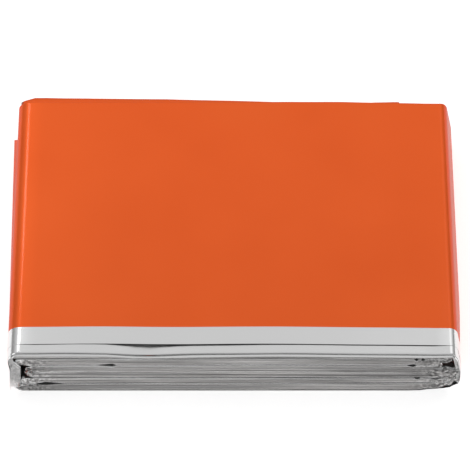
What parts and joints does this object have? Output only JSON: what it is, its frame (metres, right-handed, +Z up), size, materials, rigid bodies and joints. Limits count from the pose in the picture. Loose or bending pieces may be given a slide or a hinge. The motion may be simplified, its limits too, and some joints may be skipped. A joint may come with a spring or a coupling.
{
  "type": "emergency foil blanket",
  "caption": "Emergency foil blanket folded into a flat bundle: glossy orange film, silver on its inner face, with a silver margin along its front edge.",
  "frame": {"origin": "middle of the underside, on the surface that the bundle lies on", "axes": "+X along the long side to the right, +Y to the back, away from the silver margin, +Z up"},
  "size_m": [0.1199, 0.0803, 0.02],
  "materials": {
    "orange_film": "glossy metallised film"
  },
  "bodies": {
    "root": {"foil_blanket": "orange_film"}
  },
  "joints": []
}
